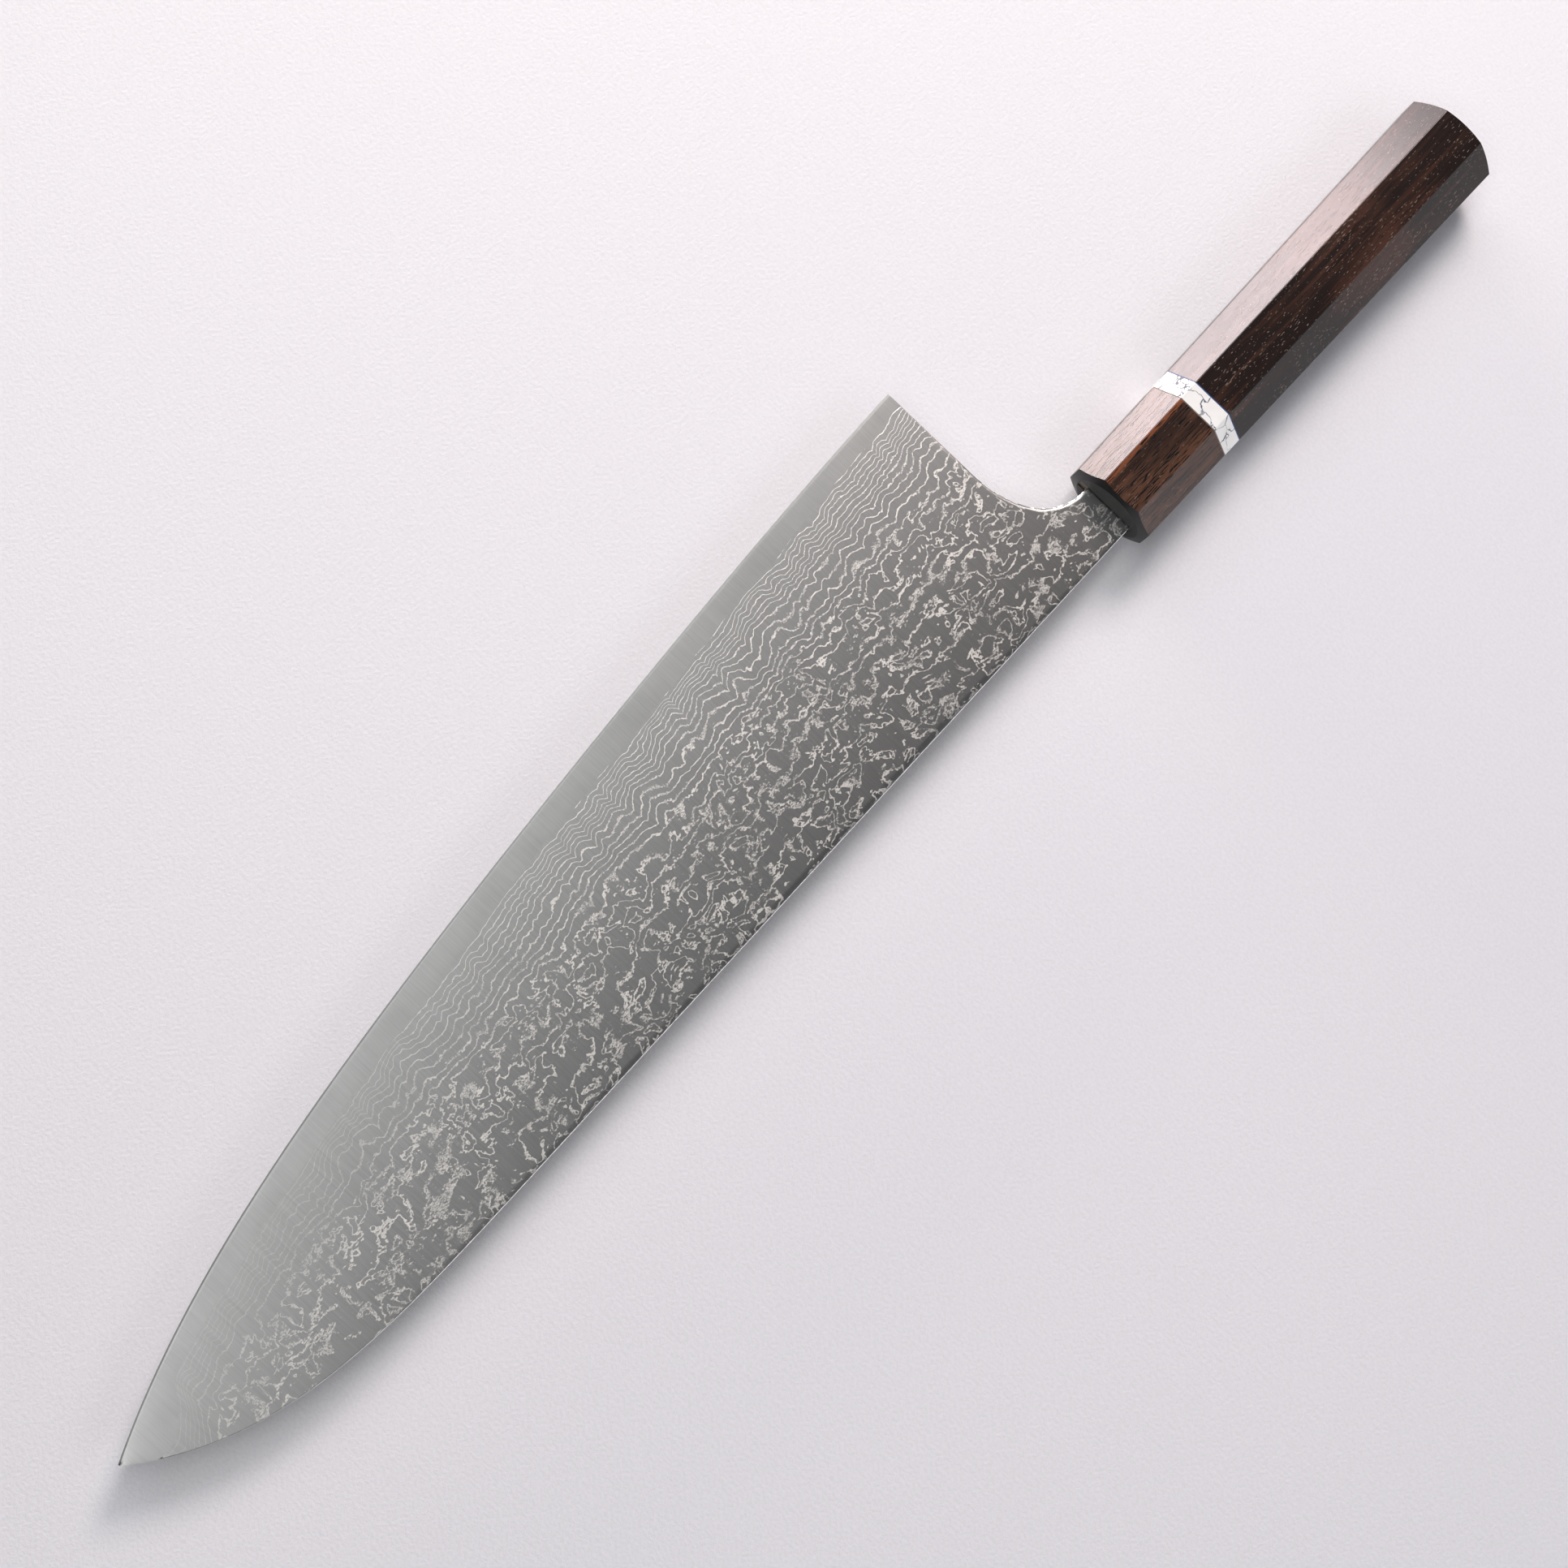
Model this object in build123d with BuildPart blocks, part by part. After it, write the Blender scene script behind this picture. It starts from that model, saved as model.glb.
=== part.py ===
"""Japanese chef's knife (gyuto) with an octagonal wooden handle, lying on its side.

The blade is a three-layer laminate: a hard core between two claddings, all of which run back
into the handle as a stepped hidden tang. The handle is a front block (ferrule), a stone ring
between two thin liners, and a long body, threaded on one hardwood dowel. The dowel is slotted
for the tang, and epoxy fills what the tang leaves of the slot.

Frame: +X from the butt to the tip, +Y from the cutting edge to the spine, +Z up. The blade's
middle plane is parallel to XY. The origin is the bottom centre of the knife's bounding box.
In the comments, a station is a distance along X from the front face of the handle, and heights
along Y are from the handle's axis.
"""

from build123d import *
import os

os.makedirs("parts", exist_ok=True)

# ---- Driving dimensions, in millimetres and degrees ----------------------------------------
# Handle, measured back from its front face
FERRULE_LENGTH = 30.1
LINER_THICKNESS = 0.3
RING_LENGTH = 5.4
BODY_LENGTH = 100.7  # to the corners of the butt, where the dome starts
DOME_HEIGHT = 3.0
DOME_RADIUS = 33.0

# The octagon grows evenly from the front face to the butt's corners
FRONT_HALF_WIDTH = 11.9  # along Y
FRONT_HALF_DEPTH = 10.3  # along Z
FRONT_HALF_FLAT = 5.6  # half of the flat that faces Z
BUTT_HALF_WIDTH = 13.4
BUTT_HALF_DEPTH = 12.1
BUTT_HALF_FLAT = 5.9
ARRIS_RADIUS = 0.35  # the long corners are eased by hand

# The ferrule's nose is a shallow cone around an oval flat
NOSE_LENGTH = 1.0  # along X, up to the octagon's corners
NOSE_FLAT = (9.8, 8.86)  # half axes of the flat, along Y and Z
NOSE_CORNERS = (12.6, 11.39)  # half axes of the oval through the octagon's corners
NOSE_OVERCUT = 1.6  # the cone is cut this much longer, to run clear of the corners

# Blade outline
HEEL_X = 17.8
HEEL_Y = -58.5
TIP_X = 325.8
SPINE_Y = 7.25
TIP_DROP = 23.95  # how far the tip lies below the straight spine
SPINE_BEND_X = 205.3  # where the spine starts to fall
SPINE_POWER = 4.33
EDGE_RISE = 26.4  # the edge is a gentle belly ...
EDGE_POWER = 1.38
TIP_RISE = 15.4  # ... and a late sweep up to the tip
TIP_POWER = 6.9
TIP_BLUNT = 0.5  # the point is eased by this length
# Stations of the blade's sections: far apart on the straight part, closer towards the point
BLADE_STATIONS = [30, 75, 120, 165, 205, 235, 260, 280, 296, 308, 317, 322.5]

# Blade section
SPINE_THICKNESS = 2.6  # at the handle
TIP_THICKNESS = 0.5
TAPER_POWER = 1.6  # distal taper: nearly even at first, then faster
GRIND_POWER = 1.7  # convex grind, flattest along the spine
SHOULDER_THICKNESS = 0.22  # behind the sharpening bevel
BEVEL_HEIGHT = 0.4
BEVEL_SHARE = 0.15  # at most, of the blade's height, where that runs out at the tip
SPINE_EASE = 0.3  # of the half thickness, taken off the spine's corners
GRIND_SHARES = (0, 0.12, 0.3, 0.6, 1)  # of the height, where the grind's curve is set out
CORE_THICKNESS = 0.56

# Neck, choil and tang
CHOIL_TOP = -28.0  # the heel is straight up to here
CHOIL_SWEEP = [(15.1, -16.4), (8.5, -9.0)]  # points that the sweep passes on its way
NECK_SLOPE = 0.08  # of the sweep where it reaches the neck, rising towards the handle
NECK_DEPTH = 4.0  # full height of the neck, let into the ferrule
TANG_LENGTH = 106.0
TANG_FRONT = (10.6, 2.2)  # height and thickness behind the neck's shoulders
TANG_END = (5.2, 1.7)

# Slot, dowel and glue
SLOT_DEPTH = 6.0  # the ferrule's slot, in front of the dowel
SLOT_TOP = 7.65
SLOT_BOTTOM = -9.4
SLOT_WIDTH = 3.4
DOWEL_RADIUS = 7.0
DOWEL_END = 120.0
TANG_CLEARANCE = 0.5  # of the dowel's slot around the tang, on each side
GLUE_RECESS = 0.4  # the epoxy stops this far inside the slot's mouth

# ---- Derived positions -----------------------------------------------------------------------
RING_FRONT = FERRULE_LENGTH + LINER_THICKNESS
RING_REAR = RING_FRONT + RING_LENGTH
BODY_FRONT = RING_REAR + LINER_THICKNESS
BUTT_CORNERS = BODY_FRONT + BODY_LENGTH
HANDLE_LENGTH = BUTT_CORNERS + DOME_HEIGHT

# The handle axis at the front face, seen from the bottom centre of the bounding box
AXIS_X = (HANDLE_LENGTH - TIP_X + TIP_BLUNT) / 2
AXIS_Y = -(HEEL_Y + BUTT_HALF_WIDTH) / 2
AXIS_Z = BUTT_HALF_DEPTH

MIDDLE = Plane(origin=(AXIS_X, AXIS_Y, AXIS_Z))
FAR = 80.0  # past anything that a cutter has to reach across the knife


def station(x):
    """The plane across the knife at a station, local x along Y and local y along Z."""
    return Plane(origin=(AXIS_X + x, AXIS_Y, AXIS_Z), x_dir=(0, 1, 0), z_dir=(1, 0, 0))


def edge_y(x):
    """Height of the cutting edge; level between the neck and the heel."""
    t = max(0.0, (x - HEEL_X) / (TIP_X - HEEL_X))
    return HEEL_Y + EDGE_RISE * t**EDGE_POWER + TIP_RISE * t**TIP_POWER


def spine_y(x):
    """Height of the spine."""
    t = max(0.0, (x - SPINE_BEND_X) / (TIP_X - SPINE_BEND_X))
    return SPINE_Y - TIP_DROP * t**SPINE_POWER


def spine_half(x):
    """Half of the thickness at the spine."""
    t = max(0.0, x / TIP_X)
    return (SPINE_THICKNESS - (SPINE_THICKNESS - TIP_THICKNESS) * t**TAPER_POWER) / 2


def blade_section(x):
    """Sketch of the blade's cross-section: sharpening bevel, convex grind, eased spine."""
    bottom = edge_y(x)
    height = spine_y(x) - bottom
    bevel = min(BEVEL_HEIGHT, BEVEL_SHARE * height)
    shoulder = SHOULDER_THICKNESS / 2 * bevel / BEVEL_HEIGHT
    half = spine_half(x)
    ease = SPINE_EASE * half

    def face(y):
        rise = (y - bevel) / (height - bevel)
        return shoulder + (half - shoulder) * (1 - (1 - rise) ** GRIND_POWER)

    heights = [bevel + (height - ease - bevel) * share for share in GRIND_SHARES]
    right = [(bottom + y, face(y)) for y in heights]
    left = [(y, -z) for y, z in reversed(right)]
    top = (bottom + height, half - ease)
    with BuildSketch(station(x)) as outline:
        with BuildLine():
            Line((bottom, 0), right[0])
            Spline(*right)
            Polyline(right[-1], top, (top[0], -top[1]), left[0])
            Spline(*left)
            Line(left[-1], (bottom, 0))
        make_face()
    return outline.sketch


def facet_planes():
    """The planes of the handle's eight facets, each looking outwards.

    A facet lies where a * y + b * z equals a reach that grows evenly towards the butt.
    """
    sizes = (
        (1, 0, FRONT_HALF_WIDTH, BUTT_HALF_WIDTH),
        (0, 1, FRONT_HALF_DEPTH, BUTT_HALF_DEPTH),
        (1, 1, FRONT_HALF_FLAT + FRONT_HALF_DEPTH, BUTT_HALF_FLAT + BUTT_HALF_DEPTH),
    )
    for a, b, front, butt in sizes:
        growth = (butt - front) / BUTT_CORNERS
        square = a * a + b * b
        for side_y in {a, -a}:
            for side_z in {b, -b}:
                foot = (AXIS_X, AXIS_Y + side_y * front / square, AXIS_Z + side_z * front / square)
                yield Plane(origin=foot, z_dir=(growth, side_y, side_z))


def handle_block(front, rear):
    """The stretch of the handle's blank between two distances behind its front face."""
    with BuildPart() as block:
        add(blank.part)
        with BuildSketch(station(-rear)):
            Rectangle(FAR, FAR)
        extrude(amount=rear - front, mode=Mode.INTERSECT)
    return block.part


def finish(piece, name):
    """Label a piece and write it."""
    piece.label = name
    export_step(piece, f"parts/{name}.step")


# ---- Blade and tang, whole -------------------------------------------------------------------
with BuildPart() as steel:
    # Ground body, full height from the neck to the tip
    for x in [-NECK_DEPTH, *BLADE_STATIONS, TIP_X - TIP_BLUNT]:
        add(blade_section(x))
    loft()
    # Choil: a straight heel, then a sweep up to the neck
    neck_bottom = -SPINE_Y
    with BuildSketch(MIDDLE.offset(-FAR / 2)):
        with BuildLine():
            Line((HEEL_X, -FAR), (HEEL_X, CHOIL_TOP))
            Spline(
                (HEEL_X, CHOIL_TOP),
                *CHOIL_SWEEP,
                (0, neck_bottom),
                tangents=((0, 1), (-1, NECK_SLOPE)),
            )
            Polyline((0, neck_bottom), (-FAR, neck_bottom), (-FAR, -FAR), (HEEL_X, -FAR))
        make_face()
    extrude(amount=FAR, mode=Mode.SUBTRACT)
    # Tang, stepped in behind the neck and tapered to its end
    with BuildSketch(station(-NECK_DEPTH)):
        Rectangle(*TANG_FRONT)
    with BuildSketch(station(-TANG_LENGTH)):
        Rectangle(*TANG_END)
    loft(ruled=True)


def layer(bottom, top):
    """The stretch of the steel between two heights above the middle plane."""
    with BuildPart() as slab:
        add(steel.part)
        with BuildSketch(Plane.XY.offset(AXIS_Z + bottom)):
            Rectangle(2 * (TIP_X + FAR), 2 * FAR)
        extrude(amount=top - bottom, mode=Mode.INTERSECT)
    return slab.part


# ---- The three forge-welded layers -----------------------------------------------------------
with BuildPart() as core_steel:
    add(layer(-CORE_THICKNESS / 2, CORE_THICKNESS / 2))
finish(core_steel.part, "core_steel")

with BuildPart() as cladding_right:
    add(layer(CORE_THICKNESS / 2, SPINE_THICKNESS))
finish(cladding_right.part, "cladding_right")

with BuildPart() as cladding_left:
    add(layer(-SPINE_THICKNESS, -CORE_THICKNESS / 2))
finish(cladding_left.part, "cladding_left")

# ---- Space for the tang and the dowel --------------------------------------------------------
with BuildPart() as mouth_slot:
    # The oblong slot through the ferrule's front wall; it shows as a notch below the neck
    with BuildSketch(station(-SLOT_DEPTH)):
        with Locations(((SLOT_TOP + SLOT_BOTTOM) / 2, 0)):
            Rectangle(SLOT_TOP - SLOT_BOTTOM, SLOT_WIDTH)
    extrude(amount=SLOT_DEPTH)

with BuildPart() as dowel_slot:
    # The tapered slot that the tang is set into
    with BuildSketch(station(-SLOT_DEPTH)):
        Rectangle(TANG_FRONT[0] + 2 * TANG_CLEARANCE, TANG_FRONT[1] + 2 * TANG_CLEARANCE)
    with BuildSketch(station(-TANG_LENGTH - TANG_CLEARANCE)):
        Rectangle(TANG_END[0] + 2 * TANG_CLEARANCE, TANG_END[1] + 2 * TANG_CLEARANCE)
    loft(ruled=True)

with BuildPart() as dowel_bore:
    with BuildSketch(station(-DOWEL_END)):
        Circle(DOWEL_RADIUS)
    extrude(amount=DOWEL_END - SLOT_DEPTH)

# ---- Handle ----------------------------------------------------------------------------------
with BuildPart() as blank:
    # The whole handle as one bar with eight flat, tapering facets and eased corners
    with BuildSketch(station(-HANDLE_LENGTH)):
        Rectangle(FAR, FAR)
    extrude(amount=HANDLE_LENGTH)
    for plane in facet_planes():
        split(bisect_by=plane, keep=Keep.BOTTOM)
    corners = blank.edges().filter_by(lambda edge: edge.length > BODY_LENGTH)
    fillet(corners, ARRIS_RADIUS)

with BuildPart() as nose_waste:
    # What is sanded off around the ferrule's nose: a slab less the shallow oval cone
    reach = NOSE_OVERCUT * NOSE_LENGTH
    wide = [flat + NOSE_OVERCUT * (c - flat) for flat, c in zip(NOSE_FLAT, NOSE_CORNERS)]
    with BuildSketch(station(-reach)):
        Rectangle(FAR, FAR)
    extrude(amount=reach)
    with BuildSketch(station(-reach)):
        Ellipse(*wide)
    with BuildSketch(station(0)):
        Ellipse(*NOSE_FLAT)
    loft(mode=Mode.SUBTRACT)

with BuildPart() as ferrule:
    add(handle_block(0, FERRULE_LENGTH))
    add(nose_waste.part, mode=Mode.SUBTRACT)
    add(mouth_slot.part, mode=Mode.SUBTRACT)
    add(dowel_bore.part, mode=Mode.SUBTRACT)
finish(ferrule.part, "ferrule")

with BuildPart() as front_liner:
    add(handle_block(FERRULE_LENGTH, RING_FRONT))
    add(dowel_bore.part, mode=Mode.SUBTRACT)
finish(front_liner.part, "front_liner")

with BuildPart() as spacer_ring:
    add(handle_block(RING_FRONT, RING_REAR))
    add(dowel_bore.part, mode=Mode.SUBTRACT)
finish(spacer_ring.part, "spacer_ring")

with BuildPart() as rear_liner:
    add(handle_block(RING_REAR, BODY_FRONT))
    add(dowel_bore.part, mode=Mode.SUBTRACT)
finish(rear_liner.part, "rear_liner")

with BuildPart() as butt_waste:
    # What is turned off the end: a thick slab less the dome, a ball cap on the handle's axis
    with BuildSketch(station(-HANDLE_LENGTH - DOME_HEIGHT)):
        Rectangle(FAR, FAR)
    extrude(amount=3 * DOME_HEIGHT)
    with BuildSketch(MIDDLE):
        with BuildLine():
            centre = -HANDLE_LENGTH + DOME_RADIUS
            cap = CenterArc((centre, 0), DOME_RADIUS, 90, 90)
            Polyline(cap @ 1, (centre, 0), cap @ 0)
        make_face()
    revolve(axis=Axis((AXIS_X, AXIS_Y, AXIS_Z), (1, 0, 0)), mode=Mode.SUBTRACT)

with BuildPart() as handle_body:
    add(handle_block(BODY_FRONT, HANDLE_LENGTH))
    add(butt_waste.part, mode=Mode.SUBTRACT)
    add(dowel_bore.part, mode=Mode.SUBTRACT)
finish(handle_body.part, "handle_body")

# ---- Inside the handle -----------------------------------------------------------------------
with BuildPart() as tang_dowel:
    add(dowel_bore.part)
    add(dowel_slot.part, mode=Mode.SUBTRACT)
finish(tang_dowel.part, "tang_dowel")

with BuildPart() as tang_epoxy:
    add(mouth_slot.part)
    add(dowel_slot.part)
    with BuildSketch(station(-GLUE_RECESS)):
        Rectangle(FAR, FAR)
    extrude(amount=GLUE_RECESS, mode=Mode.SUBTRACT)
    add(steel.part, mode=Mode.SUBTRACT)
finish(tang_epoxy.part, "tang_epoxy")
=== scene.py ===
"""Looks of the chef's knife: a three-layer damascus blade and an octagonal handle.

Everything is in metres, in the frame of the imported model: +X from the butt to the tip, +Y from the
cutting edge to the spine, +Z up. The blade's steel is rebuilt as three fine meshes from the same
curves as the solids, with the grind, the eased spine and the rounded choil. The handle's pieces are
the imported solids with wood, stone and fibre materials.

Stations and heights are in millimetres: a station is the distance along X from the front face of
the handle, and a height is the distance along Y from the handle's axis.
"""

import math

import bmesh
import bpy
from mathutils import Euler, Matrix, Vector, noise


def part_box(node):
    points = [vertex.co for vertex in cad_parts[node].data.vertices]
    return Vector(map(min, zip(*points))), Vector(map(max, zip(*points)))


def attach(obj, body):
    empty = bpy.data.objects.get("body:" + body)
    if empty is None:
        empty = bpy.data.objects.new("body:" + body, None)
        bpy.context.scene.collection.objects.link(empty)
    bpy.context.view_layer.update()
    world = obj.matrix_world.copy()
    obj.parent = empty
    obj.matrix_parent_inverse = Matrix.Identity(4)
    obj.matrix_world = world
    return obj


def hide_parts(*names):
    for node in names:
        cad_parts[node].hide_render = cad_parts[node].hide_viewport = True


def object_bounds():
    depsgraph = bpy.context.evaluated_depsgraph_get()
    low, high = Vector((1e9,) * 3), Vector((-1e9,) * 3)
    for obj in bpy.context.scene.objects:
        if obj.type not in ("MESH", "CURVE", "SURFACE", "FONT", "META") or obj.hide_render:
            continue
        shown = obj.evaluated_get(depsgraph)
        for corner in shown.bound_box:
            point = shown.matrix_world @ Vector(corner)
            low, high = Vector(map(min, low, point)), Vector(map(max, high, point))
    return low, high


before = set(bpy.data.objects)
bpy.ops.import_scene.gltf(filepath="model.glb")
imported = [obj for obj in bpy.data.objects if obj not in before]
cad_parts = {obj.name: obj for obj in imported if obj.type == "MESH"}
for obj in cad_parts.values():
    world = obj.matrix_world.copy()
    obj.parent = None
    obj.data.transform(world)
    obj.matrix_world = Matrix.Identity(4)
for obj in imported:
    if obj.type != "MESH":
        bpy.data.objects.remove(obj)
cad_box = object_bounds()

MM = 0.001

# ---- The handle's axis at its front face, read from the frame ------------------------------------
ferrule_low, ferrule_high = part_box("ferrule")
core_low, core_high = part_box("core_steel")
AXIS = Vector((
    ferrule_high.x,
    (ferrule_low.y + ferrule_high.y) / 2,
    (core_low.z + core_high.z) / 2,
))

# ---- Blade outline and section, in millimetres, as in the solids ---------------------------------
HEEL_X = 17.8
HEEL_Y = -58.5
TIP_X = 325.8
TIP_BLUNT = 0.5  # the steel stops this far short of the curves' meeting point
SPINE_Y = 7.25
TIP_DROP = 23.95
SPINE_BEND_X = 205.3
SPINE_POWER = 4.33
EDGE_RISE = 26.4
EDGE_POWER = 1.38
TIP_RISE = 15.4
TIP_POWER = 6.9
SPINE_THICKNESS = 2.6
TIP_THICKNESS = 0.5
TAPER_POWER = 1.6
GRIND_POWER = 1.7
SHOULDER = 0.11  # half thickness behind the sharpening bevel
BEVEL = 0.4
BEVEL_SHARE = 0.15  # the bevel's largest share of the blade's height, near the tip
CHOIL_CURVE = [(0.0, -7.25), (13.6, -6.8), (17.8, -20.0), (17.8, -28.0)]
NECK_DEPTH = 4.0
TANG = [(4.3, 5.3, 1.1), (106.0, 2.6, 0.85)]  # depth in the handle, half height, half thickness

# ---- Finish of the blade, in millimetres ---------------------------------------------------------
CORE_HALF = 0.28  # half thickness of the core between the claddings
CORE_SHARE = 0.8  # the core's largest share of the steel's thickness
EDGE_HALF = 0.06  # half thickness of the cutting edge itself
SPINE_EASE = 0.33  # radius of the spine's rounded corners
SPINE_EASE_SHARE = 0.5  # the same radius's largest share of the half thickness
CHOIL_EASE = 0.8  # radius of the choil's polished corners
CHOIL_EASE_SHARE = 0.7
CORE_END = 319.0  # the claddings run out here, just behind the point
BAND = 4.2  # height of the bare strip of core at the heel
BAND_SWELL = 8.0  # the strip is a quarter of this higher halfway along
BAND_WAVE = 0.9  # height of the border's waves
LONG_WAVE = 15.0  # length of the gentle waves along the blade
SHORT_WAVE = 9.0  # length of the sharp ones
SHORT_SHARE = 0.8  # height of the sharp waves, as a share of the gentle ones
BAND_FADE = 20.0  # over the last twentieth of its length the strip widens to the whole blade

# ---- Fineness of the blade's meshes --------------------------------------------------------------
CHOIL_STEPS = 60  # points of the choil's sweep that distances are measured from
CHOIL_COLUMNS = 34
HEEL_COLUMNS = 22
BLADE_COLUMNS = 190
TIP_COLUMNS = 12
NECK_MARGIN = 0.1  # millimetres behind the neck from which a column belongs to the tang
FAN_END = 62.0  # station on the spine where the fan of columns around the choil ends
FAN_POWER = 1.6
CLADDING_ROWS = 34
CORE_ROWS = 10
EASE_SHARES = [1 - math.cos(math.radians(a)) for a in (0, 15, 30, 45, 60, 75, 90)]
EDGE_SHARES = [0, 0.03, 0.06, 0.1, 0.2, 0.35, 0.5, 0.65, 0.8, 0.9, 1]
SMOOTH_ANGLE = 32  # degrees; a sharper edge stays sharp
EASE_REACH = 0.3  # an eased corner's largest share of a column's length
SHORTEST = 1e-6  # millimetres; a column shorter than this is a single point
JOIN = 1e-7  # metres; corners closer than this are one corner


def edge_y(x):
    """Height of the cutting edge."""
    t = max(0.0, (x - HEEL_X) / (TIP_X - HEEL_X))
    return HEEL_Y + EDGE_RISE * t**EDGE_POWER + TIP_RISE * t**TIP_POWER


def spine_y(x):
    """Height of the spine."""
    t = max(0.0, (x - SPINE_BEND_X) / (TIP_X - SPINE_BEND_X))
    return SPINE_Y - TIP_DROP * t**SPINE_POWER


def core_top(x):
    """Height where the core comes out from under the claddings: a gently wavy line."""
    t = min(1.0, max(0.0, (x - HEEL_X) / (CORE_END - HEEL_X)))
    long_wave = noise.noise(Vector((x / LONG_WAVE, 3.1, 0)))
    short_wave = abs(noise.noise(Vector((x / SHORT_WAVE, 7.7, 0))))
    wave = BAND_WAVE * (long_wave + SHORT_SHARE * short_wave)
    band = BAND + BAND_SWELL * t * (1 - t) + wave
    fade = min(1.0, BAND_FADE * (1 - t))
    return edge_y(x) + band * fade + (spine_y(x) - edge_y(x)) * (1 - fade)


def ground_half(x, y):
    """Half thickness of the ground blade before its corners are eased."""
    bottom = edge_y(x)
    height = max(BEVEL, spine_y(x) - bottom)
    taper = max(0.0, x / TIP_X) ** TAPER_POWER
    half = (SPINE_THICKNESS - (SPINE_THICKNESS - TIP_THICKNESS) * taper) / 2
    bevel = min(BEVEL, BEVEL_SHARE * height)
    shoulder = SHOULDER * bevel / BEVEL
    above = y - bottom
    if above < bevel:
        return EDGE_HALF + (shoulder - EDGE_HALF) * max(0.0, above) / bevel
    rise = min(1.0, (above - bevel) / (height - bevel))
    return shoulder + (half - shoulder) * (1 - (1 - rise) ** GRIND_POWER)


def choil_point(t):
    """A point on the choil's sweep, from the neck (0) to the straight heel (1)."""
    a, b, c, d = [Vector(p) for p in CHOIL_CURVE]
    s = 1 - t
    return s**3 * a + 3 * s * s * t * b + 3 * s * t * t * c + t**3 * d


CHOIL_LINE = [choil_point(i / CHOIL_STEPS) for i in range(CHOIL_STEPS + 1)]


def rounding(gap, radius):
    """How far a rounded corner falls below the flat, at a gap from its wall."""
    if gap >= radius:
        return 0.0
    return radius - math.sqrt(max(0.0, radius**2 - (radius - gap) ** 2))


def choil_gap(x, y):
    """Distance from the choil's wall and the straight heel."""
    if x > HEEL_X + 2 * CHOIL_EASE:
        return CHOIL_EASE
    point = Vector((x, y))
    gap = min((point - p).length for p in CHOIL_LINE)
    if y < CHOIL_LINE[-1].y:
        gap = min(gap, abs(x - HEEL_X))
    return gap


def steel_half(x, y):
    """Half thickness of the finished steel."""
    if x < -NECK_DEPTH - NECK_MARGIN:
        (front, _, thick), (end, _, thin) = TANG
        return thick + (thin - thick) * (-x - front) / (end - front)
    full = ground_half(x, y)
    choil = min(CHOIL_EASE, CHOIL_EASE_SHARE * full)
    spine = min(SPINE_EASE, SPINE_EASE_SHARE * full)
    drop = rounding(spine_y(x) - y, spine)
    if x < HEEL_X + CHOIL_EASE:
        drop = max(drop, rounding(choil_gap(x, y), choil))
    return full - drop


def core_half(x, y):
    """Half thickness of the core under the cladding."""
    return min(CORE_HALF, CORE_SHARE * steel_half(x, y))


# ---- Columns: each runs from the lower outline up to the spine -----------------------------------
def spread(count):
    """Even steps from 0 to 1."""
    return [i / (count - 1) for i in range(count)]


def columns():
    """Each column's lower and upper end, and where the cutting edge lies below it, or None."""
    ends = [((-depth, -half), (-depth, half), None) for depth, half, _ in reversed(TANG)]
    heel_low = core_top(HEEL_X)
    heel_high = CHOIL_CURVE[-1][1]
    choil = [tuple(choil_point(t)) for t in spread(CHOIL_COLUMNS)]
    heel = [(HEEL_X, heel_high + (heel_low - heel_high) * t) for t in spread(HEEL_COLUMNS)[1:-1]]
    lower = [(-NECK_DEPTH, -SPINE_Y)] + choil + heel
    for i, low in enumerate(lower):
        t = i / len(lower)
        x = -NECK_DEPTH + (FAN_END + NECK_DEPTH) * t**FAN_POWER
        ends.append((low, (x, spine_y(x)), None))
    for t in spread(BLADE_COLUMNS):
        low_x = HEEL_X + (CORE_END - HEEL_X) * t
        top_x = FAN_END + (CORE_END - FAN_END) * t
        ends.append(((low_x, core_top(low_x)), (top_x, spine_y(top_x)), (low_x, edge_y(low_x))))
    return ends


def column_points(low, top, rows):
    """Points up a column: close together at both ends, where the corners are eased."""
    low, top = Vector(low), Vector(top)
    length = (top - low).length
    if length < SHORTEST:
        return [low] * (rows + 2 * len(EASE_SHARES))
    bottom_ease = min(CHOIL_EASE, EASE_REACH * length)
    top_ease = min(SPINE_EASE, EASE_REACH * length)
    shares = [bottom_ease * s / length for s in EASE_SHARES]
    first, last = shares[-1], 1 - top_ease / length
    shares += [first + (last - first) * (i + 1) / (rows + 1) for i in range(rows)]
    shares += [1 - top_ease * s / length for s in reversed(EASE_SHARES)]
    return [low + (top - low) * s for s in shares]


# ---- Meshes between an upper and a lower grid ----------------------------------------------------
def in_frame(x, y, z):
    """A point in metres from a station, a height and a distance from the middle plane."""
    return AXIS + Vector((x, y, z)) * MM


def add_grid(bm, grid):
    """Adds a grid's corners. Each keeps its heights above border and edge, and its depth."""
    from_core = bm.verts.layers.float["from_core"]
    above_edge = bm.verts.layers.float["above_edge"]
    depth = bm.verts.layers.float["depth"]
    made = []
    for column in grid:
        line = []
        for x, y, z in column:
            vert = bm.verts.new(in_frame(x, y, z))
            vert[from_core] = y - core_top(max(x, HEEL_X))
            vert[above_edge] = y - edge_y(x)
            vert[depth] = ground_half(x, y) - abs(z)
            line.append(vert)
        made.append(line)
    return made


def add_skin(bm, grid):
    """Faces between neighbouring columns."""
    for left, right in zip(grid, grid[1:]):
        for i in range(len(left) - 1):
            bm.faces.new((left[i], right[i], right[i + 1], left[i + 1]))


def rim(grid):
    """The corners around a grid's outline, in order."""
    return (
        [column[0] for column in grid]
        + grid[-1][1:]
        + [column[-1] for column in reversed(grid[:-1])]
        + grid[0][-2:0:-1]
    )


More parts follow.
